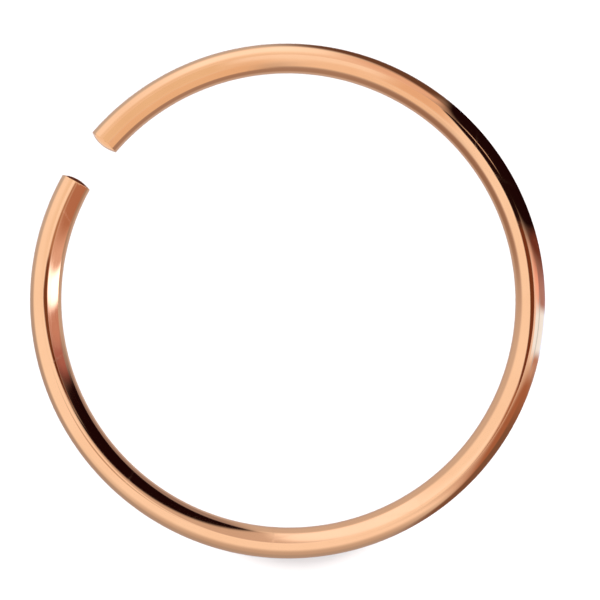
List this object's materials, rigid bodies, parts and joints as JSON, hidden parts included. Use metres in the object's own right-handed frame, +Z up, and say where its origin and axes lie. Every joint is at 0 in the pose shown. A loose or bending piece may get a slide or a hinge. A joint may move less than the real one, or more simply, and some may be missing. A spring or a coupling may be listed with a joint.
{
  "type": "nose ring",
  "caption": "Plain open nose hoop: one round rose gold wire bent into a ring, with a narrow gap between its two polished ends.",
  "frame": {"origin": "centre of the hoop, on the surface that it lies on", "axes": "+Z up, along the hoop's own axis; the hoop lies flat round it, with its gap 146.6 degrees anticlockwise from +X seen from above"},
  "size_m": [0.0112, 0.0112, 0.0006],
  "materials": {
    "rose_gold": "polished rose gold"
  },
  "bodies": {
    "root": {"hoop": "rose_gold"}
  },
  "joints": []
}
